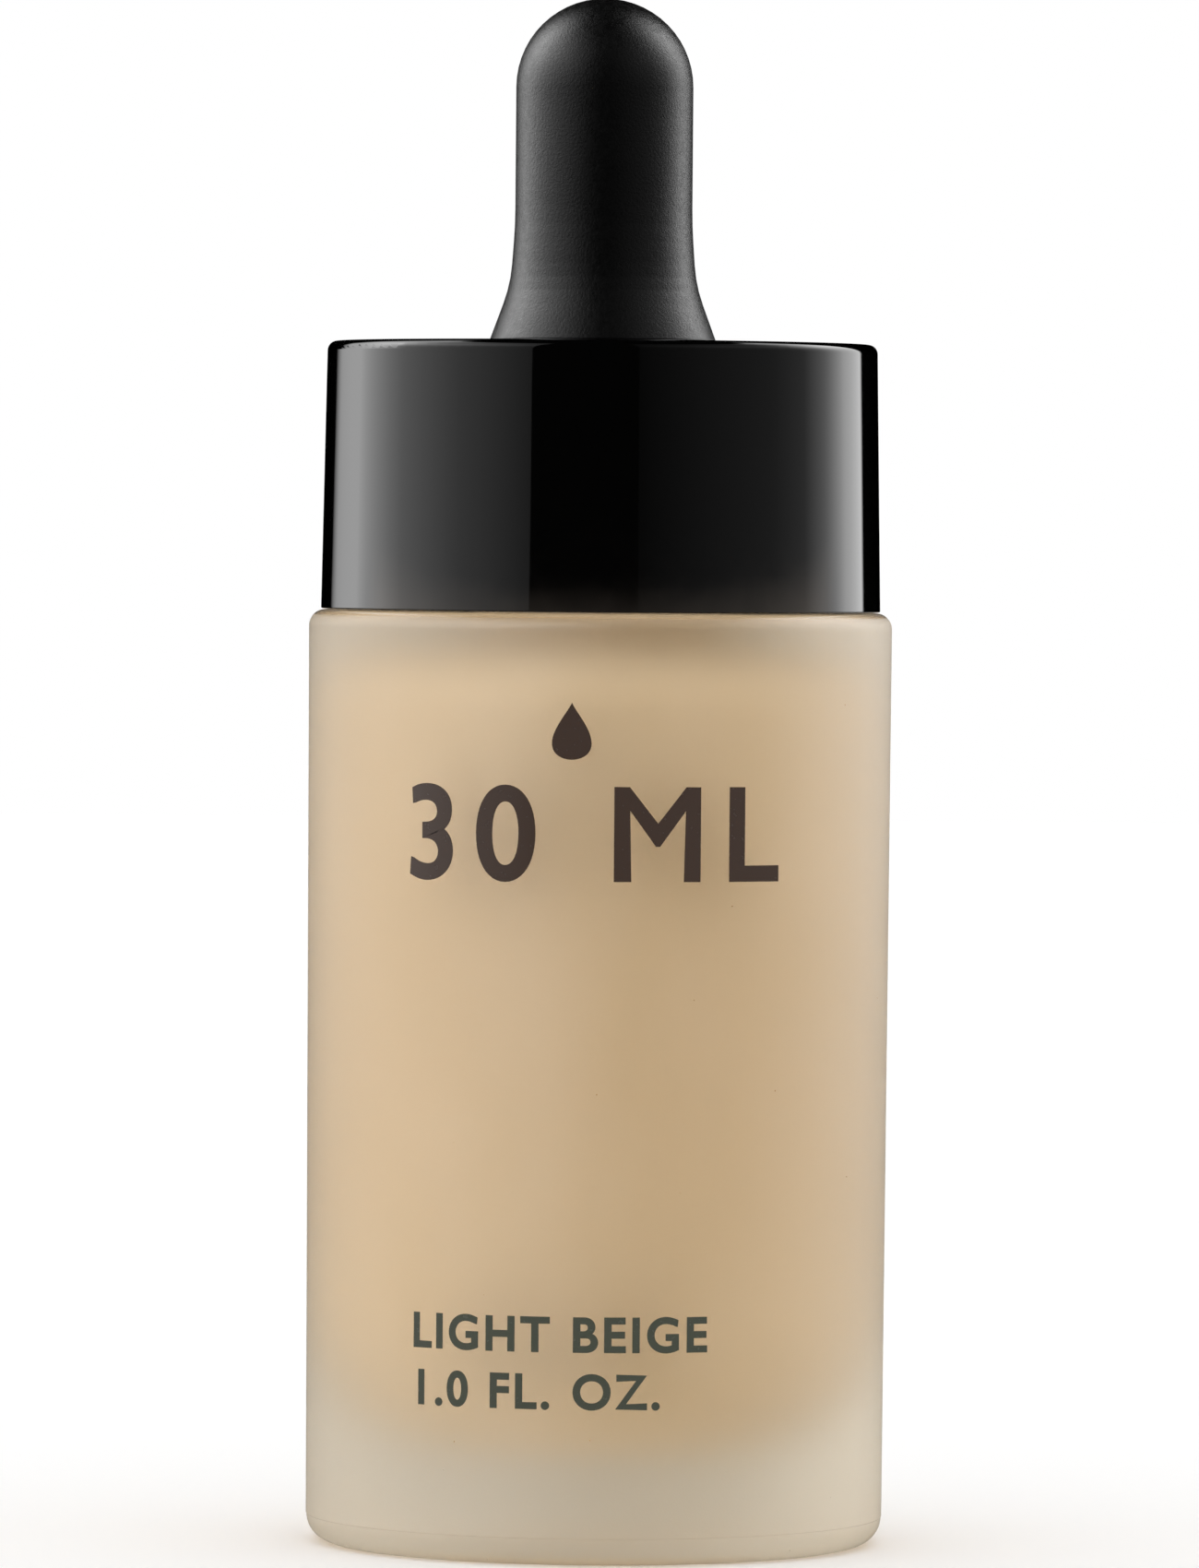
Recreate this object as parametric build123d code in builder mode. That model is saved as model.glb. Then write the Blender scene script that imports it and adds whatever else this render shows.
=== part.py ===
"""A 30 ml foundation bottle with a screw-on dropper.

Frosted glass bottle with its contents and neck wiper, a threaded inner cap inside a gloss outer shell,
and a dropper made of a glass pipette, a gasket and a rubber bulb.

Millimetres, +Z up. The origin is the centre of the base, and everything turned is turned about Z.
"""

import os

from build123d import *

os.makedirs("parts", exist_ok=True)

# Bottle
SHOULDER_Z = 58.3  # height of the flat shoulder
SHOULDER_R = 18.25  # outer radius at the shoulder
HEEL_R = 18.05  # outer radius at the heel, less by the mould's draft
SHOULDER_ROUND = 1.0
HEEL_ROUND = 1.7
REST_RING_R = 13.0  # inner radius of the flat ring that the bottle rests on
REST_RING_ROUND = 0.4
PUNT_DEPTH = 0.7  # recess inside the rest ring
PUNT_SLOPE = 1.2  # radial width of the recess's sloping edge
PUNT_ROUND = 0.5
WALL = 3.8
BASE_THICKNESS = 6.0
SHOULDER_THICKNESS = 2.7
CAVITY_ROUND = 4.0  # under the shoulder
FLOOR_ROUND = 9.0  # where the cavity's wall runs into its floor
CEILING_RISE = 0.9  # the cavity's ceiling climbs this much towards the bore
CEILING_ROUND = 0.8  # where the ceiling meets the bore

# Neck
NECK_R = 7.9
NECK_HEIGHT = 12.4
NECK_ROUND = 0.45
NECK_ROOT_ROUND = 0.7
BORE_R = 5.6

# Screw thread
THREAD_PITCH = 3.175
THREAD_TURNS = 2.2
THREAD_START = 3.0  # height of the neck thread's centre above the shoulder
THREAD_ROOT_WIDTH = 1.7
THREAD_CREST_WIDTH = 0.7
THREAD_SINK = 0.25  # how deep a ridge's root is buried in its wall
NECK_THREAD_R = 8.75
CAP_THREAD_R = 8.9  # clears the neck thread, so the cap can turn and lift
CAP_THREAD_TURNS = 1.6
CAP_THREAD_START = 4.6  # height of the cap thread's centre above the shoulder

# Outer shell of the cap
SHELL_GAP = 0.06  # between the shell's rim and the shoulder
SHELL_TOP_Z = 75.08
SHELL_TOP_R = 17.2
SHELL_RIM_R = 17.5
SHELL_WALL = 1.3
SHELL_DECK = 0.88  # thickness of its top
SHELL_TOP_ROUND = 0.6
SHELL_RIM_ROUND = 0.1
SOCKET_R = 10.72  # inner radius of the collar that grips the inner cap
SOCKET_WALL = 1.15
SOCKET_RIM_Z = 62.0
SOCKET_ROUND = 0.3
SHELL_CORNER_ROUND = 0.5  # inside, where the skirt meets the deck
SHELL_RIB_COUNT = 12
SHELL_RIB_WIDTH = 0.9
SHELL_RIB_RIM_Z = 63.2
SHELL_RIB_SINK = 0.3  # how deep a rib's outer edge is buried in the skirt

# Inner cap
HOLE_R = 4.75  # hole through both caps for the bulb's waist
HOLE_ROUND = 0.1
CAP_R = 10.45
CAP_BORE_R = 9.5
CAP_TOP_Z = 74.15
CAP_DECK = 1.0
CAP_RIM_Z = 59.1
CAP_EDGE_ROUND = 0.4
CAP_RIM_ROUND = 0.2
KNURL_COUNT = 24
KNURL_R = 10.75
KNURL_WIDTH = 0.6
KNURL_HEIGHT = 11.0
KNURL_SINK = 0.2  # how deep a knurl's root is buried in the cap's wall

# Rubber bulb
BULB_R = 5.54
BULB_WALL = 1.34
TOP_Z = 96.6  # overall height
TAPER_Z = 82.42  # below this the bulb widens a little
FLARE_Z = 78.69  # below this it flares out
FLARE_TOP_R = 5.81
SKIRT_Z = 75.12  # underside of the flared skirt, just clear of the shell
SKIRT_R = 7.12
SKIRT_ROUND = 0.16
FLARE_ROUND = 9.0
TAPER_ROUND = 30.0
WAIST_R = 4.65
FLANGE_R = 7.4
FLANGE_TOP_Z = 73.1
FLANGE_BOTTOM_Z = 72.05
FLANGE_ROUND = 0.2
PIPETTE_FIT = 0.05  # clearance all round the pipette in the bulb
MOUTH_Z = 78.4  # the bore starts to widen here above the pipette
MOUTH_TOP_Z = 80.7
MOUTH_ROUND = 2.0

# Pipette
TUBE_R = 3.5
TUBE_BORE_R = 2.5
TUBE_TOP_Z = 77.5
TUBE_TOP_ROUND = 0.35
COLLAR_R = 5.4
COLLAR_THICKNESS = 0.7
COLLAR_ROUND = 0.25
TAPER_TOP_Z = 19.0
TAPER_TOP_ROUND = 8.0
TAPER_END_Z = 11.0
TAPER_END_ROUND = 5.0
TIP_Z = 8.8
TIP_R = 1.6
TIP_BORE_R = 0.8
TIP_ROUND = 0.3

# Gasket and neck wiper
GASKET_R = 7.4
GASKET_BORE_R = 3.6
GASKET_THICKNESS = 0.6
GASKET_ROUND = 0.1
WIPER_FLANGE_R = 7.6
WIPER_FLANGE = 0.7
WIPER_ROUND = 0.2
WIPER_BORE_R = 4.7
WIPER_BEAD_R = 5.72  # a little more than the neck's bore, for a tight fit
WIPER_BEAD_HALF = 0.3  # half the height of a sealing bead
WIPER_BEADS = (2.5, 4.5)  # heights of the beads above the plug's foot
WIPER_LIP_R = 3.68  # just clear of the pipette
WIPER_LIP = 0.5  # thickness of the lip's edge
WIPER_DEPTH = 6.6
WIPER_LIP_DROP = 1.5

# Contents
LEVEL_Z = 60.0  # filling level, in the foot of the neck
LIQUID_GAP = 0.03  # between the contents and the glass
WELL_R = 3.8  # room for the pipette in the contents
WELL_FLOOR_Z = 8.1
COLUMN_GAP = 0.05  # between the drawn contents and the pipette
COLUMN_FOOT = 0.1  # how far inside the tip they end

NECK_TOP_Z = SHOULDER_Z + NECK_HEIGHT
CAVITY_R = SHOULDER_R - WALL
CEILING_Z = SHOULDER_Z - SHOULDER_THICKNESS
DOME_Z = TOP_Z - BULB_R


def ring(outline):
    """A body turned about Z from a closed outline, given as {(radius, height): corner rounding}."""
    with BuildPart() as turned:
        with BuildSketch(Plane.XZ):
            with BuildLine():
                FilletPolyline(*outline, radius=list(outline.values()), close=True)
            make_face()
        revolve(axis=Axis.Z)
    return turned.part


def thread_ridge(wall_r, crest_r, start_z, turns):
    """A trapezoidal helical ridge from just inside the wall at wall_r to its crest at crest_r."""
    outward = 1 if crest_r > wall_r else -1
    root_r = wall_r - outward * THREAD_SINK
    half_root = THREAD_ROOT_WIDTH / 2
    half_crest = THREAD_CREST_WIDTH / 2
    with BuildPart() as ridge:
        with BuildLine() as path:
            Helix(pitch=THREAD_PITCH, height=turns * THREAD_PITCH, radius=root_r, center=(0, 0, start_z))
        with BuildSketch(Plane(origin=path.line @ 0, x_dir=(outward, 0, 0), z_dir=path.line % 0)):
            with BuildLine():
                Polyline(
                    (0, -half_root),
                    (abs(crest_r - root_r), -half_crest),
                    (abs(crest_r - root_r), half_crest),
                    (0, half_root),
                    close=True,
                )
            make_face()
        sweep(is_frenet=True)
    return ridge.part


def save(sub_part, name):
    """Labels a finished sub-part and writes its file."""
    sub_part.part.label = name
    export_step(sub_part.part, f"parts/{name}.step")


# The bottle: body, cavity, neck and bore are one outline, and the thread is wound on the neck.
neck_thread = thread_ridge(NECK_R, NECK_THREAD_R, SHOULDER_Z + THREAD_START, THREAD_TURNS)
bottle_outline = {
    (0, PUNT_DEPTH): 0,
    (REST_RING_R - PUNT_SLOPE, PUNT_DEPTH): PUNT_ROUND,
    (REST_RING_R, 0): REST_RING_ROUND,
    (HEEL_R, 0): HEEL_ROUND,
    (SHOULDER_R, SHOULDER_Z): SHOULDER_ROUND,
    (NECK_R, SHOULDER_Z): NECK_ROOT_ROUND,
    (NECK_R, NECK_TOP_Z): NECK_ROUND,
    (BORE_R, NECK_TOP_Z): NECK_ROUND,
    (BORE_R, CEILING_Z + CEILING_RISE): CEILING_ROUND,
    (CAVITY_R, CEILING_Z): CAVITY_ROUND,
    (CAVITY_R, BASE_THICKNESS): FLOOR_ROUND,
    (0, BASE_THICKNESS): 0,
}
with BuildPart() as glass_bottle:
    add(ring(bottle_outline))
    add(neck_thread)
save(glass_bottle, "glass_bottle")

# The contents fill the cavity and the foot of the neck, with a well where the pipette stands.
liquid_r = CAVITY_R - LIQUID_GAP
liquid_neck_r = BORE_R - LIQUID_GAP
liquid_floor_z = BASE_THICKNESS + LIQUID_GAP
liquid_ceiling_z = CEILING_Z - LIQUID_GAP
liquid_outline = {
    (0, liquid_floor_z): 0,
    (liquid_r, liquid_floor_z): FLOOR_ROUND - LIQUID_GAP,
    (liquid_r, liquid_ceiling_z): CAVITY_ROUND - LIQUID_GAP,
    (liquid_neck_r, liquid_ceiling_z + CEILING_RISE): CEILING_ROUND + LIQUID_GAP,
    (liquid_neck_r, LEVEL_Z): 0,
    (WELL_R, LEVEL_Z): 0,
    (WELL_R, WELL_FLOOR_Z): 0,
    (0, WELL_FLOOR_Z): 0,
}
with BuildPart() as foundation_liquid:
    add(ring(liquid_outline))
save(foundation_liquid, "foundation_liquid")

# The wiper is a plug with two sealing beads, a flange on the neck's rim and a conical lip at its foot.
plug_foot_z = NECK_TOP_Z - WIPER_DEPTH
lip_top_z = plug_foot_z + WIPER_LIP_DROP
wiper_outline = {
    (WIPER_FLANGE_R, NECK_TOP_Z): WIPER_ROUND,
    (WIPER_FLANGE_R, NECK_TOP_Z + WIPER_FLANGE): WIPER_ROUND,
    (WIPER_BORE_R, NECK_TOP_Z + WIPER_FLANGE): WIPER_ROUND,
    (WIPER_BORE_R, lip_top_z): WIPER_ROUND,
    (WIPER_LIP_R, plug_foot_z + WIPER_LIP): 0,
    (WIPER_LIP_R, plug_foot_z): 0,
    (WIPER_LIP_R + WIPER_LIP, plug_foot_z): WIPER_ROUND,
    (BORE_R, lip_top_z): WIPER_ROUND,
}
for bead in WIPER_BEADS:
    bead_z = plug_foot_z + bead
    wiper_outline[(BORE_R, bead_z - WIPER_BEAD_HALF)] = 0
    wiper_outline[(WIPER_BEAD_R, bead_z)] = WIPER_ROUND
    wiper_outline[(BORE_R, bead_z + WIPER_BEAD_HALF)] = 0
wiper_outline[(BORE_R, NECK_TOP_Z)] = 0
with BuildPart() as neck_wiper:
    add(ring(wiper_outline))
save(neck_wiper, "neck_wiper")

# The inner cap is a knurled ring with a deck, threaded inside.
cap_thread = thread_ridge(CAP_BORE_R, CAP_THREAD_R, SHOULDER_Z + CAP_THREAD_START, CAP_THREAD_TURNS)
cap_outline = {
    (HOLE_R, CAP_TOP_Z - CAP_DECK): HOLE_ROUND,
    (CAP_BORE_R, CAP_TOP_Z - CAP_DECK): CAP_EDGE_ROUND,
    (CAP_BORE_R, CAP_RIM_Z): CAP_RIM_ROUND,
    (CAP_R, CAP_RIM_Z): CAP_RIM_ROUND,
    (CAP_R, CAP_TOP_Z): CAP_EDGE_ROUND,
    (HOLE_R, CAP_TOP_Z): HOLE_ROUND,
}
knurl_inner_r = CAP_R - KNURL_SINK
with BuildPart() as inner_cap:
    add(ring(cap_outline))
    add(cap_thread)
    with BuildSketch(Plane.XY.offset(SOCKET_RIM_Z)):
        with PolarLocations((knurl_inner_r + KNURL_R) / 2, KNURL_COUNT):
            Rectangle(KNURL_R - knurl_inner_r, KNURL_WIDTH)
    extrude(amount=KNURL_HEIGHT)
save(inner_cap, "inner_cap")

# The outer shell has a drafted skirt, a deck, and a ribbed collar that holds the inner cap.
deck_z = SHELL_TOP_Z - SHELL_DECK
shell_rim_z = SHOULDER_Z + SHELL_GAP
shell_outline = {
    (HOLE_R, SHELL_TOP_Z): HOLE_ROUND,
    (SHELL_TOP_R, SHELL_TOP_Z): SHELL_TOP_ROUND,
    (SHELL_RIM_R, shell_rim_z): SHELL_RIM_ROUND,
    (SHELL_RIM_R - SHELL_WALL, shell_rim_z): SHELL_RIM_ROUND,
    (SHELL_TOP_R - SHELL_WALL, deck_z): SHELL_CORNER_ROUND,
    (SOCKET_R + SOCKET_WALL, deck_z): SOCKET_ROUND,
    (SOCKET_R + SOCKET_WALL, SOCKET_RIM_Z): SOCKET_ROUND,
    (SOCKET_R, SOCKET_RIM_Z): SOCKET_ROUND,
    (SOCKET_R, deck_z): 0,
    (HOLE_R, deck_z): HOLE_ROUND,
}
rib_inner_r = SOCKET_R + SOCKET_WALL / 2
rib_outer_r = SHELL_RIM_R - SHELL_WALL + SHELL_RIB_SINK
with BuildPart() as overshell:
    add(ring(shell_outline))
    with BuildSketch(Plane.XY.offset(SHELL_RIB_RIM_Z)):
        with PolarLocations((rib_inner_r + rib_outer_r) / 2, SHELL_RIB_COUNT):
            Rectangle(rib_outer_r - rib_inner_r, SHELL_RIB_WIDTH)
    extrude(amount=deck_z - SHELL_RIB_RIM_Z + SHELL_DECK / 2)
save(overshell, "overshell")

# The pipette is a straight tube with a collar near its top and a drawn tip.
collar_top_z = FLANGE_BOTTOM_Z + COLLAR_THICKNESS
pipette_outline = {
    (TUBE_BORE_R, TUBE_TOP_Z): TUBE_TOP_ROUND,
    (TUBE_R, TUBE_TOP_Z): TUBE_TOP_ROUND,
    (TUBE_R, collar_top_z): 0,
    (COLLAR_R, collar_top_z): COLLAR_ROUND,
    (COLLAR_R, FLANGE_BOTTOM_Z): COLLAR_ROUND,
    (TUBE_R, FLANGE_BOTTOM_Z): 0,
    (TUBE_R, TAPER_TOP_Z): TAPER_TOP_ROUND,
    (TIP_R, TAPER_END_Z): TAPER_END_ROUND,
    (TIP_R, TIP_Z): TIP_ROUND,
    (TIP_BORE_R, TIP_Z): TIP_ROUND,
    (TIP_BORE_R, TAPER_END_Z): TAPER_END_ROUND,
    (TUBE_BORE_R, TAPER_TOP_Z): TAPER_TOP_ROUND,
}
with BuildPart() as glass_pipette:
    add(ring(pipette_outline))
save(glass_pipette, "glass_pipette")

# What the pipette holds: it stands as high as the contents outside.
column_r = TUBE_BORE_R - COLUMN_GAP
column_tip_r = TIP_BORE_R - COLUMN_GAP
drawn_outline = {
    (0, TIP_Z + COLUMN_FOOT): 0,
    (column_tip_r, TIP_Z + COLUMN_FOOT): 0,
    (column_tip_r, TAPER_END_Z): TAPER_END_ROUND,
    (column_r, TAPER_TOP_Z): TAPER_TOP_ROUND,
    (column_r, LEVEL_Z): 0,
    (0, LEVEL_Z): 0,
}
with BuildPart() as drawn_liquid:
    add(ring(drawn_outline))
save(drawn_liquid, "drawn_liquid")

# The gasket lies under the pipette's collar and the bulb's flange.
gasket_foot_z = FLANGE_BOTTOM_Z - GASKET_THICKNESS
gasket_outline = {
    (GASKET_BORE_R, gasket_foot_z): GASKET_ROUND,
    (GASKET_R, gasket_foot_z): GASKET_ROUND,
    (GASKET_R, FLANGE_BOTTOM_Z): GASKET_ROUND,
    (GASKET_BORE_R, FLANGE_BOTTOM_Z): GASKET_ROUND,
}
with BuildPart() as sealing_gasket:
    add(ring(gasket_outline))
save(sealing_gasket, "sealing_gasket")

# The bulb: a domed teat that tapers, flares into a skirt, and narrows to a waist above its flange.
bulb_bore_r = TUBE_R + PIPETTE_FIT
inside_r = BULB_R - BULB_WALL
socket_r = COLLAR_R + PIPETTE_FIT
socket_top_z = FLANGE_BOTTOM_Z + COLLAR_THICKNESS + PIPETTE_FIT
bulb_side = {
    (inside_r, DOME_Z): 0,
    (inside_r, MOUTH_TOP_Z): MOUTH_ROUND,
    (bulb_bore_r, MOUTH_Z): FLANGE_ROUND,
    (bulb_bore_r, socket_top_z): 0,
    (socket_r, socket_top_z): 0,
    (socket_r, FLANGE_BOTTOM_Z): FLANGE_ROUND / 2,
    (FLANGE_R, FLANGE_BOTTOM_Z): FLANGE_ROUND,
    (FLANGE_R, FLANGE_TOP_Z): FLANGE_ROUND,
    (WAIST_R, FLANGE_TOP_Z): 0,
    (WAIST_R, SKIRT_Z): 0,
    (SKIRT_R, SKIRT_Z): SKIRT_ROUND,
    (FLARE_TOP_R, FLARE_Z): FLARE_ROUND,
    (BULB_R, TAPER_Z): TAPER_ROUND,
    (BULB_R, DOME_Z): 0,
}
with BuildPart() as rubber_bulb:
    with BuildSketch(Plane.XZ):
        with BuildLine():
            CenterArc((0, DOME_Z), BULB_R, 0, 90)
            Line((0, TOP_Z), (0, TOP_Z - BULB_WALL))
            CenterArc((0, DOME_Z), inside_r, 0, 90)
            FilletPolyline(*bulb_side, radius=list(bulb_side.values())[1:-1])
        make_face()
    revolve(axis=Axis.Z)
save(rubber_bulb, "rubber_bulb")
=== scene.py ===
import math

import bmesh
import bpy
from mathutils import Matrix, Vector


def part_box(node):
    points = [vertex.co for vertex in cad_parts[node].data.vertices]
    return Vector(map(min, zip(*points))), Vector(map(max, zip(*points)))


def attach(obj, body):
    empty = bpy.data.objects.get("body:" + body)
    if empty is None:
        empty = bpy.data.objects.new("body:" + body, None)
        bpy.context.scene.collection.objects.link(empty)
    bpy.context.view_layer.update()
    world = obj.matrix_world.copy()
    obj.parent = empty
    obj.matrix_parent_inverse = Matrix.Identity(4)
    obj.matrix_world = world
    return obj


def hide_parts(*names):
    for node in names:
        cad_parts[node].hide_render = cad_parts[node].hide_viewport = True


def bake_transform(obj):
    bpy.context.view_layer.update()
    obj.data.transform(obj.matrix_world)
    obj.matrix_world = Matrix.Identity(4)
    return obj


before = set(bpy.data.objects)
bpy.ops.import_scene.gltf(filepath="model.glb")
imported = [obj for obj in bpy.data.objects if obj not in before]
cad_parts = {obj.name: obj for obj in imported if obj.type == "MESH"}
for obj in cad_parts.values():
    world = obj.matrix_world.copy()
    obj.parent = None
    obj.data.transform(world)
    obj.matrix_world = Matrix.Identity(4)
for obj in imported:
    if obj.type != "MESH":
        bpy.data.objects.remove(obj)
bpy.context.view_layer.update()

MM = 0.001
TURN = 2 * math.pi

# ---------------------------------------------------------------- sizes, in mm, from the CAD frame


def size_of(node):
    """(outer radius, lowest height, highest height) of a CAD node, in mm."""
    low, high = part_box(node)
    return high.x / MM, low.z / MM, high.z / MM


BODY_R, _, NECK_TOP = size_of("glass_bottle")
_, SHELL_RIM, SHELL_TOP = size_of("overshell")
FLANGE_R, FLANGE_FOOT, BULB_TOP = size_of("rubber_bulb")
COLLAR_R, TIP, TUBE_TOP = size_of("glass_pipette")
LIQUID_R, FLOOR, LEVEL = size_of("foundation_liquid")

SHOULDER = SHELL_RIM - 0.06  # the shell stops just above it
SHOULDER_ROUND = 1.0
HEEL_R = BODY_R - 0.2  # the wall leans in a little towards its foot
HEEL_ROUND = 1.7
PUNT_R = 11.8  # the recess under the base
PUNT_HEIGHT = 0.7
RING_R = 13.0  # inner radius of the ring that the bottle stands on
CAVITY_R = LIQUID_R + 0.03  # the CAD contents stop just short of the glass
CEILING = SHOULDER - 2.7  # the cavity ends under a thick shoulder
CAVITY_ROUND = 4.0
FLOOR_ROUND = 9.0
CEILING_RISE = 0.9
PARTING_Z = 1.72  # where the mould's base plate met its body
PARTING_STEP = 0.04
NECK_R = 7.9
LIP_ROUND = 0.45
BORE_R = 5.6
BORE_ROUND = 0.8
TUBE_R = 3.5
TUBE_BORE_R = 2.5
TIP_BORE_R = 0.8
TIP_TAPER = (11.0, 19.0)  # heights between which the pipette's bore narrows
BULB_R = 5.54
BULB_WALL = 1.34
BULB_PLUG_R = 4.65  # where it passes through the shell's top
FLARE_FROM = 82.42  # height at which the bulb starts to widen towards its skirt
FLARE_R, FLARE_Z = 5.81, 78.69
SKIRT_R = 7.12
FLANGE_HEIGHT = 1.05
COLLAR_SEAT = 0.75  # depth of the seat for the pipette's collar
GRIP = 0.05  # clearance round the pipette
WETTING = 0.06  # how far the contents reach into the glass, so that no air shows between them
PIPETTE_WETTING = 0.03
MENISCUS = 0.3
THREAD_ROW = 0.16

ROUGH_OUTSIDE = 0.62
ROUGH_INSIDE = 0.15
GLASS_TINT = (0.71, 0.61, 0.42)
GLASS_DENSITY = 30  # how fast thick glass takes on its tint, per metre
PALE_CREAM = (0.63, 0.484, 0.321)
DEEP_CREAM = (0.60, 0.454, 0.286)

LARGE_PRINT = {"height": 5.9, "left": -12.9, "weight": 0.14, "spacing": 1.25}
SMALL_PRINT = {"height": 2.15, "left": -12.1, "weight": 0.085, "spacing": 1.17}
CAPITAL_SHARE = 0.729  # height of a capital as a share of the letters' size
STRIP = 0.35  # width of the strips that printed shapes are cut into
INK_PROUD = 0.02
DROP_WIDEST = 1.44  # width of a drop of unit size

AMBIENT = 1.1  # brightness of the white surroundings for matt surfaces
# How bright the screens are along their height: (share of the height, factor).
SCREEN_HEIGHTS = [(0, 1.0), (0.2, 1.1), (0.42, 1.95), (0.67, 1.1), (1, 1.0)]
# What shines through the glass: soft lights by the direction they come from, and their brightness.
THROUGH_GLASS = {
    (0, -1, 0): 0.45,
    (0, 1, 0): 0.5,
    (-1, 0, 0): 2.1,
    (1, 0, 0): 1.6,
    (0, 0, 1): 2.6,
    (0, 0, -1): 1.4,
}

FLOOR_R = 1.6  # in metres

# The camera looks a little down, so far away that the view is almost parallel.
SENSOR = 36
IMAGE_ROWS = 1700
FOCAL_ROWS = 12000  # the lens's focal length, measured in rows of the image
CAMERA_DISTANCE = 693
CAMERA_HEIGHT = 64.9
CAMERA_SIDE = 0.015
CAMERA_DROP = 1.44  # degrees
CAMERA_ROLL = 0.46  # degrees

# ---------------------------------------------------------------- turned pieces

ARC_STEP = math.radians(7.5)  # largest step along a rounded corner
HOLD = 0.12  # mm from the end of a straight run to the edge loop that keeps its shading flat
SHARP = math.radians(40)


def rounded(outline, closed):
    """Points along an outline {(radius, height): corner rounding}, with arcs at its corners."""
    corners = list(outline)
    count = len(corners)
    points = []
    for i, ((x, z), rounding) in enumerate(outline.items()):
        if rounding == 0 or not closed and i in (0, count - 1):
            points.append(Vector((x, z)))
            continue
        before_x, before_z = corners[i - 1]
        after_x, after_z = corners[(i + 1) % count]
        back = math.atan2(before_z - z, before_x - x)
        ahead = math.atan2(after_z - z, after_x - x)
        between = (ahead - back + math.pi) % TURN - math.pi
        side = math.copysign(1, between)
        bend = math.pi - abs(between)
        away = rounding / math.cos(bend / 2)
        middle = back + between / 2
        centre = Vector((x + away * math.cos(middle), z + away * math.sin(middle)))
        start = back - side * math.pi / 2
        steps = max(2, math.ceil(bend / ARC_STEP))
        for k in range(steps + 1):
            angle = start - side * bend * k / steps
            points.append(centre + rounding * Vector((math.cos(angle), math.sin(angle))))
    return points


def with_loops(points, closed, longest):
    """The same points, with extra ones near the ends of each long run and at most longest apart."""
    out = []
    pairs = list(zip(points, points[1:] + points[:1]))
    for a, b in pairs if closed else pairs[:-1]:
        run = (b - a).length
        out.append(a)
        if run > 4 * HOLD:
            inner = (b - a) * (HOLD / run)
            steps = max(1, math.ceil((run - 2 * HOLD) / longest))
            out += [(a + inner).lerp(b - inner, k / steps) for k in range(steps + 1)]
    return out if closed else out + [points[-1]]


def lathe(name, points, material, segments=160, swell=None):
    """A mesh turned from (radius, height) points that start and end on the axis, or run round closed.
    swell(radius, height, angle) gives an extra radius, such as a thread's."""
    mesh = bpy.data.meshes.new(name)
    bm = bmesh.new()
    rings = []
    for r, z in points:
        if r < 1e-4:
            rings.append([bm.verts.new((0, 0, z * MM))])
            continue
        ring = []
        for k in range(segments):
            angle = TURN * k / segments
            wide = (r + (swell(r, z, angle) if swell else 0)) * MM
            ring.append(bm.verts.new((wide * math.cos(angle), wide * math.sin(angle), z * MM)))
        rings.append(ring)
    for low, high in zip(rings, rings[1:]):
        for k in range(segments):
            n = (k + 1) % segments
            if len(low) > 1 and len(high) > 1:
                bm.faces.new((low[k], low[n], high[n], high[k]))
            elif len(high) > 1:
                bm.faces.new((low[0], high[n], high[k]))
            elif len(low) > 1:
                bm.faces.new((low[k], low[n], high[0]))
    bmesh.ops.recalc_face_normals(bm, faces=bm.faces)
    bm.to_mesh(mesh)
    bm.free()
    return finish_mesh(name, mesh, material)


def finish_mesh(name, mesh, material):
    """An object of that mesh with smooth shading, sharp at its hard edges."""
    mesh.shade_smooth()
    mesh.set_sharp_from_angle(angle=SHARP)
    mesh.materials.append(material)
    obj = bpy.data.objects.new(name, mesh)
    bpy.context.scene.collection.objects.link(obj)
    return obj


# ---------------------------------------------------------------- materials


def new_material(name, **values):
    """A material, its node tree and its Principled shader, with these values set on the shader."""
    material = bpy.data.materials.new(name)
    material.use_nodes = True
    tree = material.node_tree
    shader = tree.nodes["Principled BSDF"]
    for socket, value in values.items():
        shader.inputs[socket.replace("_", " ")].default_value = value
    return material, tree, shader


def noise(tree, size_mm, detail=3.0, roughness=0.5, stretch=(1, 1, 1)):
    """A noise texture in object space whose features are about size_mm across."""
    place = tree.nodes.new("ShaderNodeTexCoord")
    mapping = tree.nodes.new("ShaderNodeMapping")
    mapping.inputs["Scale"].default_value = stretch
    texture = tree.nodes.new("ShaderNodeTexNoise")
    texture.inputs["Scale"].default_value = 1 / (size_mm * MM)
    texture.inputs["Detail"].default_value = detail
    texture.inputs["Roughness"].default_value = roughness
    tree.links.new(place.outputs["Object"], mapping.inputs["Vector"])
    tree.links.new(mapping.outputs["Vector"], texture.inputs["Vector"])
    return texture.outputs["Fac"]


def spread(tree, source, low, high):
    """A noise value, mapped from its usual 0.3 to 0.7 onto low to high."""
    remap = tree.nodes.new("ShaderNodeMapRange")
    remap.inputs["From Min"].default_value = 0.3
    remap.inputs["From Max"].default_value = 0.7
    remap.inputs["To Min"].default_value = low
    remap.inputs["To Max"].default_value = high
    tree.links.new(source, remap.inputs["Value"])
    return remap.outputs["Result"]


def bump(tree, shader, source, height_mm, strength=1.0):
    """Gives the shader that source as a bump of that height, and returns the bump's node."""
    node = tree.nodes.new("ShaderNodeBump")
    node.inputs["Distance"].default_value = height_mm * MM
    node.inputs["Strength"].default_value = strength
    tree.links.new(source, node.inputs["Height"])
    tree.links.new(node.outputs["Normal"], shader.inputs["Normal"])
    return node


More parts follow.
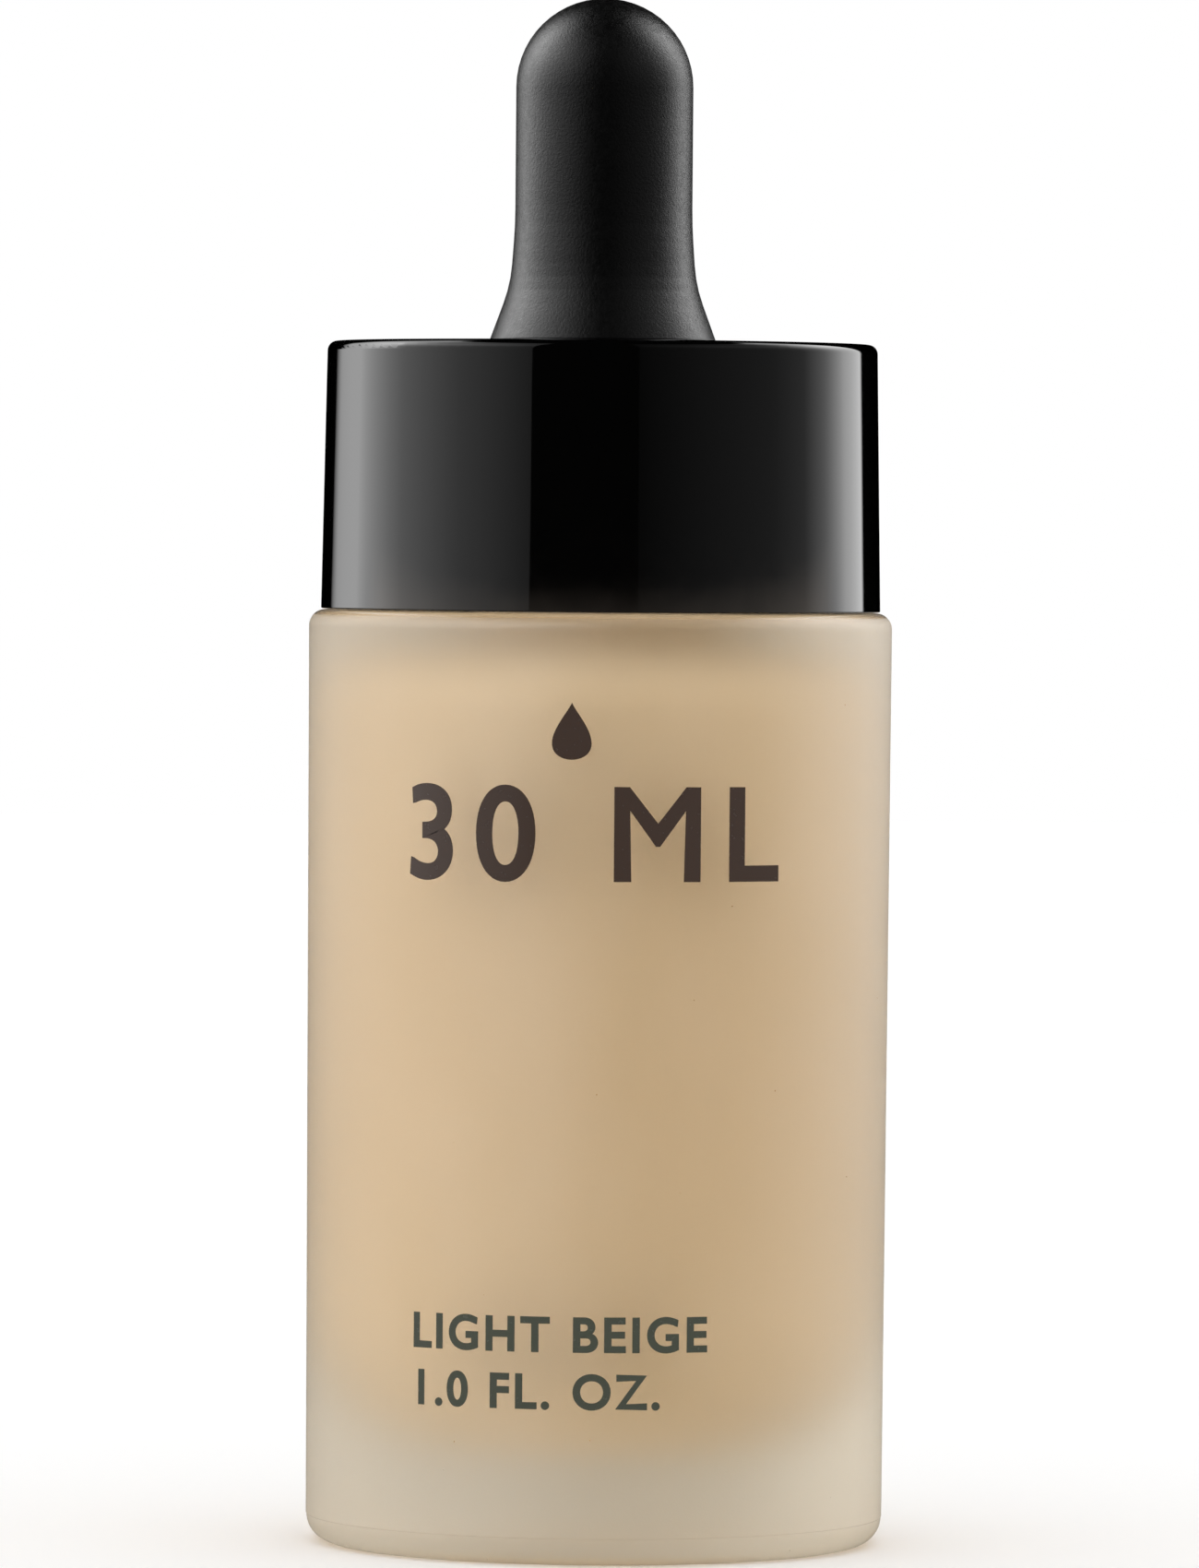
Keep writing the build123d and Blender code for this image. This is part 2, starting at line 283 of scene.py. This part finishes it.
def specks(tree, spacing_mm, size_mm):
    """Small dots scattered at random: 1 in a dot and 0 elsewhere."""
    dots = tree.nodes.new("ShaderNodeTexVoronoi")
    dots.inputs["Scale"].default_value = 1 / (spacing_mm * MM)
    place = tree.nodes.new("ShaderNodeTexCoord")
    tree.links.new(place.outputs["Object"], dots.inputs["Vector"])
    inside = tree.nodes.new("ShaderNodeMapRange")
    inside.interpolation_type = "SMOOTHSTEP"
    inside.inputs["From Min"].default_value = size_mm / spacing_mm
    inside.inputs["From Max"].default_value = 0.4 * size_mm / spacing_mm
    tree.links.new(dots.outputs["Distance"], inside.inputs["Value"])
    return inside.outputs["Result"]


def between_colours(tree, share, first, second):
    """The mix of two colours by a share from 0 to 1."""
    mix = tree.nodes.new("ShaderNodeMix")
    mix.data_type = "RGBA"
    mix.inputs["A"].default_value = (*first, 1)
    mix.inputs["B"].default_value = (*second, 1)
    tree.links.new(share, mix.inputs["Factor"])
    return mix.outputs["Result"]


def frosted_glass():
    """Acid-frosted glass: its outside is rough, with a fine grain, a slight mottling and a few specks,
    and thick places are a little beige and grey."""
    material, tree, shader = new_material(
        "frosted_glass",
        Base_Color=(0.96, 0.96, 0.94, 1),
        IOR=1.5,
        Transmission_Weight=1.0,
        Coat_Weight=1.0,
        Coat_Roughness=0.42,
        Coat_IOR=1.5,
    )
    frosted = frosting(tree)
    mottled = spread(tree, noise(tree, 0.8, detail=5), ROUGH_OUTSIDE - 0.03, ROUGH_OUTSIDE + 0.03)
    pitted = maths(tree, "MULTIPLY_ADD", specks(tree, 2.4, 0.11), -0.35, mottled)
    roughness = maths(tree, "MULTIPLY", frosted, pitted)
    roughness = maths(tree, "MAXIMUM", roughness, ROUGH_INSIDE)
    tree.links.new(roughness, shader.inputs["Roughness"])
    grain = bump(tree, shader, noise(tree, 0.13, detail=4), 0.012)
    tree.links.new(maths(tree, "MULTIPLY", frosted, 0.6), grain.inputs["Strength"])
    absorption = tree.nodes.new("ShaderNodeVolumeAbsorption")
    absorption.inputs["Color"].default_value = (*GLASS_TINT, 1)
    absorption.inputs["Density"].default_value = GLASS_DENSITY
    tree.links.new(absorption.outputs["Volume"], tree.nodes["Material Output"].inputs["Volume"])
    return material


def frosting(tree):
    """1 on the rough outside, and 0 in the cavity, round the neck and on the shoulder's top."""
    height = place_in(tree).outputs["Z"]
    outside = step_between(tree, distance_from_axis(tree), CAVITY_R + 0.4, CAVITY_R + 1.0)
    below = step_between(tree, height, SHOULDER - 0.1, SHOULDER - 0.5)
    under = step_between(tree, height, FLOOR - 1.0, FLOOR - 2.0)
    side = maths(tree, "MULTIPLY", outside, below)
    return maths(tree, "MAXIMUM", side, under)


def place_in(tree):
    """A node that gives the object's own coordinates one by one."""
    place = tree.nodes.new("ShaderNodeTexCoord")
    parts = tree.nodes.new("ShaderNodeSeparateXYZ")
    tree.links.new(place.outputs["Object"], parts.inputs["Vector"])
    return parts


def distance_from_axis(tree):
    """How far a point is from the bottle's axis."""
    parts = place_in(tree)
    flat = tree.nodes.new("ShaderNodeCombineXYZ")
    tree.links.new(parts.outputs["X"], flat.inputs["X"])
    tree.links.new(parts.outputs["Y"], flat.inputs["Y"])
    radius = tree.nodes.new("ShaderNodeVectorMath")
    radius.operation = "LENGTH"
    tree.links.new(flat.outputs["Vector"], radius.inputs[0])
    return radius.outputs["Value"]


def maths(tree, operation, *values):
    """A Math node's result for sockets or plain numbers."""
    node = tree.nodes.new("ShaderNodeMath")
    node.operation = operation
    for value, socket in zip(values, node.inputs):
        if isinstance(value, (int, float)):
            socket.default_value = value
        else:
            tree.links.new(value, socket)
    return node.outputs["Value"]


def step_between(tree, source, start_mm, end_mm):
    """Rises from 0 at start to 1 at end, or the other way round."""
    step = tree.nodes.new("ShaderNodeMapRange")
    step.interpolation_type = "SMOOTHSTEP"
    step.inputs["From Min"].default_value = start_mm * MM
    step.inputs["From Max"].default_value = end_mm * MM
    tree.links.new(source, step.inputs["Value"])
    return step.outputs["Result"]


def clear_glass():
    """Drawn tube: clear, with long faint waves along it."""
    material, tree, shader = new_material(
        "clear_glass",
        Base_Color=(0.98, 0.99, 0.985, 1),
        IOR=1.5,
        Transmission_Weight=1.0,
    )
    tree.links.new(spread(tree, noise(tree, 1.5), 0.01, 0.04), shader.inputs["Roughness"])
    bump(tree, shader, noise(tree, 2.0, detail=1, stretch=(1, 1, 0.15)), 0.02, 0.5)
    return material


def foundation():
    """A beige cream whose pigment lies a little unevenly, in tall soft clouds."""
    material, tree, shader = new_material("foundation", Roughness=0.35, IOR=1.42, Specular_IOR_Level=0.1)
    clouds = spread(tree, noise(tree, 5.0, detail=2, stretch=(1, 1, 0.45)), 0, 1)
    tree.links.new(between_colours(tree, clouds, PALE_CREAM, DEEP_CREAM), shader.inputs["Base Color"])
    bump(tree, shader, noise(tree, 1.2), 0.02, 0.4)
    return material


def gloss_black():
    """High gloss moulding, with the faint ripple that its skin has and a trace of handling."""
    material, tree, shader = new_material(
        "gloss_black",
        Base_Color=(0.0008, 0.0008, 0.0008, 1),
        IOR=1.5,
    )
    tree.links.new(spread(tree, noise(tree, 1.4, detail=6), 0.028, 0.05), shader.inputs["Roughness"])
    bump(tree, shader, noise(tree, 3.0, detail=1), 0.004, 0.5)
    return material


def black_plastic():
    """Moulded, with a satin finish."""
    material, tree, shader = new_material("black_plastic", Base_Color=(0.012, 0.012, 0.012, 1))
    tree.links.new(spread(tree, noise(tree, 0.8), 0.34, 0.46), shader.inputs["Roughness"])
    bump(tree, shader, noise(tree, 0.25), 0.01, 0.5)
    return material


def black_rubber():
    """Satin rubber with a fine grain, and softly mottled as moulded rubber is."""
    material, tree, shader = new_material("black_rubber", Base_Color=(0.0014, 0.0014, 0.0014, 1), IOR=1.5)
    tree.links.new(spread(tree, noise(tree, 0.4, detail=5), 0.27, 0.39), shader.inputs["Roughness"])
    bump(tree, shader, noise(tree, 0.16, detail=4, roughness=0.65), 0.03, 0.9)
    return material


def soft_plastic():
    """Natural polyethylene: milky, and a little waxy."""
    material, tree, shader = new_material(
        "soft_plastic", Base_Color=(0.80, 0.81, 0.78, 1), Subsurface_Weight=0.3
    )
    shader.inputs["Subsurface Radius"].default_value = (1.0, 1.0, 1.0)
    shader.inputs["Subsurface Scale"].default_value = 1.0 * MM
    tree.links.new(spread(tree, noise(tree, 0.7), 0.35, 0.48), shader.inputs["Roughness"])
    bump(tree, shader, noise(tree, 0.3), 0.008, 0.5)
    return material


def ink(name, colour):
    """Screen print: glossy, with the faint weave of the screen's mesh in it."""
    material, tree, shader = new_material(name, Base_Color=(*colour, 1), IOR=1.5)
    tree.links.new(spread(tree, noise(tree, 0.35, detail=4), 0.18, 0.28), shader.inputs["Roughness"])
    bump(tree, shader, noise(tree, 0.1), 0.006, 0.5)
    return material


# ---------------------------------------------------------------- the object

THREAD_PITCH = 3.175
THREAD_START = SHOULDER + 3.0
THREAD_TURNS = 2.2
THREAD_HEIGHT = 0.85
THREAD_HALF_ROOT = 0.85
THREAD_HALF_CREST = 0.35


def neck_thread(radius, height, angle):
    """How far the screw thread stands out of the neck there."""
    if abs(radius - NECK_R) > 1e-3:
        return 0
    best = 0
    for turn in range(3):
        along = turn + angle / TURN
        if along > THREAD_TURNS:
            continue
        off = abs(height - THREAD_START - along * THREAD_PITCH)
        side = (THREAD_HALF_ROOT - off) / (THREAD_HALF_ROOT - THREAD_HALF_CREST)
        ends = min(along, THREAD_TURNS - along) / 0.08
        best = max(best, min(1, max(0, side)) * min(1, ends))
    return THREAD_HEIGHT * best


def make_bottle():
    """The glass, with the fine step that the mould's base plate leaves round the heel."""
    outline = {
        (0, PUNT_HEIGHT): 0,
        (PUNT_R, PUNT_HEIGHT): 0.5,
        (RING_R, 0): 0.4,
        (HEEL_R - PARTING_STEP, 0): HEEL_ROUND,
        (HEEL_R - PARTING_STEP, PARTING_Z): 0,
        (HEEL_R, PARTING_Z + PARTING_STEP): 0,
        (BODY_R, SHOULDER): SHOULDER_ROUND,
        (NECK_R, SHOULDER): 0.7,
        (NECK_R, NECK_TOP): LIP_ROUND,
        (BORE_R, NECK_TOP): LIP_ROUND,
        (BORE_R, CEILING + CEILING_RISE): BORE_ROUND,
        (CAVITY_R, CEILING): CAVITY_ROUND,
        (CAVITY_R, FLOOR): FLOOR_ROUND,
        (0, FLOOR): 0,
    }
    points = with_loops(rounded(outline, False), False, longest=3.0)
    return lathe("frosted_bottle", finer_on_neck(points), frosted_glass(), swell=neck_thread)


def finer_on_neck(points):
    """The same points, with rows close enough on the neck's wall to carry the thread."""
    out = []
    for a, b in zip(points, points[1:]):
        out.append(a)
        if abs(a.x - NECK_R) < 1e-3 and abs(b.x - NECK_R) < 1e-3:
            rows = math.ceil((b - a).length / THREAD_ROW)
            out += [a.lerp(b, k / rows) for k in range(1, rows)]
    return out + [points[-1]]


def make_contents(material):
    """The contents fill the cavity and stand in the neck, and reach a little into the glass."""
    wall = CAVITY_R + WETTING
    neck = BORE_R + WETTING
    outline = {
        (0, FLOOR - WETTING): 0,
        (wall, FLOOR - WETTING): FLOOR_ROUND,
        (wall, CEILING + WETTING): CAVITY_ROUND,
        (neck, CEILING + CEILING_RISE + WETTING): BORE_ROUND,
        (neck, LEVEL): 0,
        (neck - MENISCUS, LEVEL - MENISCUS): MENISCUS,
        (0, LEVEL - MENISCUS): 0,
    }
    points = with_loops(rounded(outline, False), False, longest=6.0)
    return lathe("foundation_fill", points, material)


def make_drawn_column(material):
    """The column in the pipette wets its bore and ends in a small bulge at the tip."""
    narrow = TIP_BORE_R + PIPETTE_WETTING
    wide = TUBE_BORE_R + PIPETTE_WETTING
    outline = {
        (0, TIP + 0.15): 0,
        (narrow, TIP + 0.3): 0,
        (narrow, TIP_TAPER[0]): 5,
        (wide, TIP_TAPER[1]): 8,
        (wide, LEVEL + 0.4): 0,
        (TUBE_BORE_R - 0.5, LEVEL): 0.4,
        (0, LEVEL): 0,
    }
    points = with_loops(rounded(outline, False), False, longest=6.0)
    return lathe("foundation_in_pipette", points, material, segments=64)


def make_bulb(material):
    """The rubber bulb, closed all round: domed outside and in, with its skirt, waist and flange."""
    dome_z = BULB_TOP - BULB_R
    inside_r = BULB_R - BULB_WALL
    outer = [Vector((BULB_R * math.sin(a), dome_z + BULB_R * math.cos(a))) for a in quarter(0, 1)]
    inner = [Vector((inside_r * math.sin(a), dome_z + inside_r * math.cos(a))) for a in quarter(1, 0)]
    skirt_z = SHELL_TOP + 0.04
    flange_z = FLANGE_FOOT + FLANGE_HEIGHT
    seat_z = FLANGE_FOOT + COLLAR_SEAT
    outline = {
        (BULB_R, dome_z): 0,
        (BULB_R, FLARE_FROM): 30,
        (FLARE_R, FLARE_Z): 9,
        (SKIRT_R, skirt_z): 0.16,
        (BULB_PLUG_R, skirt_z): 0,
        (BULB_PLUG_R, flange_z): 0,
        (FLANGE_R, flange_z): 0.25,
        (FLANGE_R, FLANGE_FOOT): 0.2,
        (COLLAR_R + GRIP, FLANGE_FOOT): 0.1,
        (COLLAR_R + GRIP, seat_z): 0,
        (TUBE_R + GRIP, seat_z): 0,
        (TUBE_R + GRIP, TUBE_TOP + 0.9): 0.5,
        (inside_r, TUBE_TOP + 3.2): 2,
        (inside_r, dome_z): 0,
    }
    sides = with_loops(rounded(outline, False), False, longest=0.6)
    return lathe("bulb", outer[:-1] + sides + inner[1:], material)


def quarter(start, end):
    """Angles from one end of a quarter turn to the other."""
    steps = 14
    return [math.pi / 2 * (start + (end - start) * k / steps) for k in range(steps + 1)]


# ---------------------------------------------------------------- print on the glass


def printed(name, words, base, material, height, left, weight, spacing):
    """Letters of that capital height in mm, starting at left along the body's girth, on that base line."""
    curve = bpy.data.curves.new(name, "FONT")
    curve.body = words
    curve.size = height / CAPITAL_SHARE
    curve.space_character = spacing
    text = bpy.data.objects.new(name + "_text", curve)
    bpy.context.scene.collection.objects.link(text)
    bpy.context.view_layer.update()
    mesh = bpy.data.meshes.new_from_object(text.evaluated_get(bpy.context.evaluated_depsgraph_get()))
    bpy.data.objects.remove(text)
    bm = bmesh.new()
    bm.from_mesh(mesh)
    bmesh.ops.remove_doubles(bm, verts=bm.verts, dist=0.004 * height)
    embolden(bm, weight)
    bmesh.ops.translate(bm, verts=bm.verts, vec=(left, base, 0))
    return on_glass(name, bm, material)


def drop(name, width, height, centre, base, material):
    """A plain drop shape, pointed at its top."""
    steps = 56
    bm = bmesh.new()
    outline = []
    for k in range(steps):
        turn = TURN * k / steps
        across = width / DROP_WIDEST * math.sin(turn) * math.sin(turn / 2) ** 1.5
        outline.append(bm.verts.new((centre - across, base + height / 2 * (1 + math.cos(turn)), 0)))
    bm.faces.new(outline)
    bmesh.ops.recalc_face_normals(bm, faces=bm.faces)
    return on_glass(name, bm, material)


def embolden(bm, weight):
    """Moves the outline of flat faces outward by weight."""
    moves = {}
    for v in bm.verts:
        outward = []
        for edge in v.link_edges:
            if not edge.is_boundary:
                continue
            loop = edge.link_loops[0]
            along = (loop.link_loop_next.vert.co - loop.vert.co).normalized()
            outward.append(Vector((along.y, -along.x, 0)))
        if len(outward) == 2:
            moves[v] = weight * (outward[0] + outward[1]) / (1 + max(0, outward[0].dot(outward[1])))
    for v, move in moves.items():
        v.co += move


def on_glass(name, bm, material):
    """Cuts a flat shape, x across and y up in mm, into narrow upright strips, wraps it round the front
    of the body and gives it a thickness."""
    low = min(v.co.x for v in bm.verts)
    high = max(v.co.x for v in bm.verts)
    count = math.ceil((high - low) / STRIP)
    for k in range(1, count):
        geometry = bm.verts[:] + bm.edges[:] + bm.faces[:]
        cut = (low + (high - low) * k / count, 0, 0)
        bmesh.ops.bisect_plane(bm, geom=geometry, plane_co=cut, plane_no=(1, 0, 0))
    grown = bmesh.ops.extrude_face_region(bm, geom=bm.faces[:], use_keep_orig=True)
    buried = {v for v in grown["geom"] if isinstance(v, bmesh.types.BMVert)}
    for v in bm.verts:
        across, height, _ = v.co
        radius = HEEL_R + (BODY_R - HEEL_R) * (height - PARTING_Z) / (SHOULDER - PARTING_Z)
        angle = across / radius
        radius += -INK_PROUD if v in buried else INK_PROUD
        v.co = Vector((radius * math.sin(angle), -radius * math.cos(angle), height)) * MM
    bmesh.ops.recalc_face_normals(bm, faces=bm.faces)
    mesh = bpy.data.meshes.new(name)
    bm.to_mesh(mesh)
    bm.free()
    obj = finish_mesh(name, mesh, material)
    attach(obj, "bottle")
    return obj


# ---------------------------------------------------------------- lamps, floor and camera


def at_azimuth(degrees, distance, height):
    """A point round the object: azimuth 0 is towards the camera, and 90 is to its right."""
    a = math.radians(degrees)
    return Vector((math.sin(a) * distance, -math.cos(a) * distance, height))


def light_screen(name, table, distance, receivers, top=1.3, fade=0.12, colour=(1, 1, 1)):
    """A curved glowing screen round the object, which lights only the receivers. The table gives its
    brightness by azimuth in degrees, top its height in metres and fade the share where it dims."""
    columns, rows = 48, 12
    start, end = table[0][0], table[-1][0]
    mesh = bpy.data.meshes.new(name)
    bm = bmesh.new()
    layer = bm.verts.layers.float.new("glow")
    grid = []
    for i in range(columns + 1):
        azimuth = start + (end - start) * i / columns
        column = []
        for j in range(rows + 1):
            v = bm.verts.new(at_azimuth(azimuth, distance, top * j / rows))
            v[layer] = interpolate(table, azimuth) * by_height(j / rows, fade)
            column.append(v)
        grid.append(column)
    for a, b in zip(grid, grid[1:]):
        for j in range(rows):
            bm.faces.new((a[j], b[j], b[j + 1], a[j + 1]))
    bm.to_mesh(mesh)
    bm.free()
    material = bpy.data.materials.new(name)
    material.use_nodes = True
    tree = material.node_tree
    tree.nodes.clear()
    strength = tree.nodes.new("ShaderNodeAttribute")
    strength.attribute_name = "glow"
    emission = tree.nodes.new("ShaderNodeEmission")
    emission.inputs["Color"].default_value = (*colour, 1)
    gauze = tree.nodes.new("ShaderNodeBsdfTransparent")  # lets the light of a screen behind it through
    both = tree.nodes.new("ShaderNodeAddShader")
    output = tree.nodes.new("ShaderNodeOutputMaterial")
    tree.links.new(strength.outputs["Fac"], emission.inputs["Strength"])
    tree.links.new(emission.outputs["Emission"], both.inputs[0])
    tree.links.new(gauze.outputs["BSDF"], both.inputs[1])
    tree.links.new(both.outputs["Shader"], output.inputs["Surface"])
    mesh.materials.append(material)
    obj = bpy.data.objects.new(name, mesh)
    bpy.context.scene.collection.objects.link(obj)
    obj.visible_camera = False
    obj.visible_diffuse = False
    obj.visible_transmission = False
    obj.light_linking.receiver_collection = receivers


def interpolate(table, x):
    """The value at x on straight lines between (x, value) pairs."""
    for (x0, y0), (x1, y1) in zip(table, table[1:]):
        if x <= x1:
            return y0 + (y1 - y0) * min(1, max(0, (x - x0) / (x1 - x0)))
    return table[-1][1]


def by_height(share, fade):
    """A screen's brightness at that share of its height, with a fade to nothing at its top."""
    return interpolate(SCREEN_HEIGHTS, share) * min(1, (1 - share) / fade)


def make_lamps(frosted, shiny, cap):
    """Two screens light the frosted glass, two others the shiny pieces, and a low warm one the cap."""
    left = [(-147, 0.0), (-140, 1.4), (-120, 3.2), (-105, 2.5), (-90, 1.6), (-60, 0.75), (-29, 0.25)]
    right = [(15, 0.03), (75, 0.22), (92, 0.4), (105, 1.2), (120, 3.0), (136, 3.2), (138, 0.0)]
    low = [(-110, 0.0), (-100, 1.0), (100, 1.0), (110, 0.0)]
    light_screen("low_screen", low, 0.3, cap, top=0.068, fade=0.1, colour=(0.8, 0.67, 0.56))
    light_screen("left_screen", left, 0.7, shiny)
    light_screen("right_screen", right, 0.7, shiny)
    left = [(-150, 0.0), (-120, 1.6), (-90, 1.5), (-60, 1.9), (-30, 2.2), (0, 0.0)]
    right = [(60, 0.0), (100, 2.3), (130, 1.9), (160, 0.0)]
    light_screen("left_screen_for_glass", left, 0.75, frosted)
    light_screen("right_screen_for_glass", right, 0.75, frosted)


def collection_of(name, objects):
    """A collection of those objects, which stay in the scene too."""
    collection = bpy.data.collections.new(name)
    for obj in objects:
        collection.objects.link(obj)
    return collection


def make_surroundings():
    """White for the camera and for matt surfaces, black in reflections, where only the lamps show, and
    soft lights from six sides through the glass."""
    world = bpy.data.worlds.new("studio")
    world.use_nodes = True
    world.cycles.sampling_method = "NONE"  # so that every ray sees what is meant for its own kind
    tree = world.node_tree
    tree.nodes.clear()
    path = tree.nodes.new("ShaderNodeLightPath")
    shade = None
    for ray, brightness in (
        (None, AMBIENT),
        ("Is Glossy Ray", 0),
        ("Is Transmission Ray", soft_lights(tree)),
        ("Is Camera Ray", 1),
    ):
        light = tree.nodes.new("ShaderNodeBackground")
        light.inputs["Color"].default_value = (1, 1, 1, 1)
        if ray == "Is Transmission Ray":
            tree.links.new(brightness, light.inputs["Strength"])
        else:
            light.inputs["Strength"].default_value = brightness
        if shade is None:
            shade = light.outputs["Background"]
            continue
        choice = tree.nodes.new("ShaderNodeMixShader")
        tree.links.new(path.outputs[ray], choice.inputs["Fac"])
        tree.links.new(shade, choice.inputs[1])
        tree.links.new(light.outputs["Background"], choice.inputs[2])
        shade = choice.outputs["Shader"]
    output = tree.nodes.new("ShaderNodeOutputWorld")
    tree.links.new(shade, output.inputs["Surface"])
    bpy.context.scene.world = world


def soft_lights(tree):
    """The sum of the lights in THROUGH_GLASS, each of which fades with the square of the cosine."""
    place = tree.nodes.new("ShaderNodeTexCoord")
    total = 0
    for direction, brightness in THROUGH_GLASS.items():
        facing = tree.nodes.new("ShaderNodeVectorMath")
        facing.operation = "DOT_PRODUCT"
        facing.inputs[1].default_value = direction
        tree.links.new(place.outputs["Generated"], facing.inputs[0])
        cosine = maths(tree, "MAXIMUM", facing.outputs["Value"], 0)
        square = maths(tree, "POWER", cosine, 2)
        total = maths(tree, "MULTIPLY_ADD", square, brightness, total)
    return total


def make_floor():
    """A round sheet of white paper, which shows in no reflection and through no glass."""
    mesh = bpy.data.meshes.new("floor")
    bm = bmesh.new()
    bmesh.ops.create_circle(bm, cap_ends=True, segments=96, radius=FLOOR_R)
    bm.to_mesh(mesh)
    bm.free()
    mesh.materials.append(floor_paper())
    obj = bpy.data.objects.new("floor", mesh)
    bpy.context.scene.collection.objects.link(obj)
    obj.visible_transmission = False
    obj.visible_glossy = False


def floor_paper():
    """White paper with a faint grain."""
    material, tree, shader = new_material("floor", Roughness=0.9, Specular_IOR_Level=0)
    grain = spread(tree, noise(tree, 0.6, detail=4), 0, 1)
    paper = between_colours(tree, grain, (0.936, 0.936, 0.936), (0.944, 0.944, 0.944))
    tree.links.new(paper, shader.inputs["Base Color"])
    return material


def make_camera():
    """A long lens, which looks a little down and rolls a little to one side."""
    data = bpy.data.cameras.new("camera")
    data.sensor_width = SENSOR
    data.lens = SENSOR * FOCAL_ROWS / IMAGE_ROWS
    data.clip_start, data.clip_end = 0.05, 20
    camera = bpy.data.objects.new("camera", data)
    place = Matrix.Translation(Vector((CAMERA_SIDE, -CAMERA_DISTANCE, CAMERA_HEIGHT)) * MM)
    aim = Matrix.Rotation(math.radians(90 - CAMERA_DROP), 4, "X")
    roll = Matrix.Rotation(math.radians(CAMERA_ROLL), 4, "Z")
    camera.matrix_world = place @ aim @ roll
    bpy.context.scene.collection.objects.link(camera)
    bpy.context.scene.camera = camera


# ---------------------------------------------------------------- everything put together


def carry(obj, body, slot, *nodes):
    """obj rides on the body and stands for the CAD nodes, which it hides. The slot is not used."""
    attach(obj, body)
    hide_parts(*nodes)


def dress(node, material):
    """Gives a CAD node its material."""
    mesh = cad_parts[node].data
    mesh.materials.clear()
    mesh.materials.append(material)


liquid = foundation()
bottle = make_bottle()
carry(bottle, "bottle", "frosted_glass", "glass_bottle")
carry(make_contents(liquid), "bottle", "foundation", "foundation_liquid")
carry(make_drawn_column(liquid), "dropper", "foundation", "drawn_liquid")
bulb = make_bulb(black_rubber())
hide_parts("rubber_bulb")
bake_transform(bulb)

plastic = soft_plastic()
dress("neck_wiper", plastic)
dress("sealing_gasket", plastic)
dress("glass_pipette", clear_glass())
dress("inner_cap", black_plastic())
dress("overshell", gloss_black())
for node in ("inner_cap", "overshell"):
    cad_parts[node].visible_transmission = False  # lets the soft light from above into the shoulder

brown = ink("brown_ink", (0.052, 0.033, 0.025))
green_grey = ink("green_grey_ink", (0.065, 0.072, 0.054))
printed("print_volume", "30 ML", base=42.1, material=brown, **LARGE_PRINT)
drop("print_drop", width=2.5, height=3.5, centre=-1.7, base=49.4, material=brown)
printed("print_shade", "LIGHT BEIGE", base=13.25, material=green_grey, **SMALL_PRINT)
printed("print_ounces", "1.0 FL. OZ.", base=9.75, material=green_grey, **SMALL_PRINT)

pieces = [obj for obj in bpy.context.scene.objects if obj.type == "MESH" and obj is not bottle]
cap = [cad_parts["overshell"]]
make_lamps(collection_of("frosted", [bottle]), collection_of("shiny", pieces), collection_of("cap", cap))
make_surroundings()
make_floor()
make_camera()
bpy.context.scene.view_settings.view_transform = "Standard"
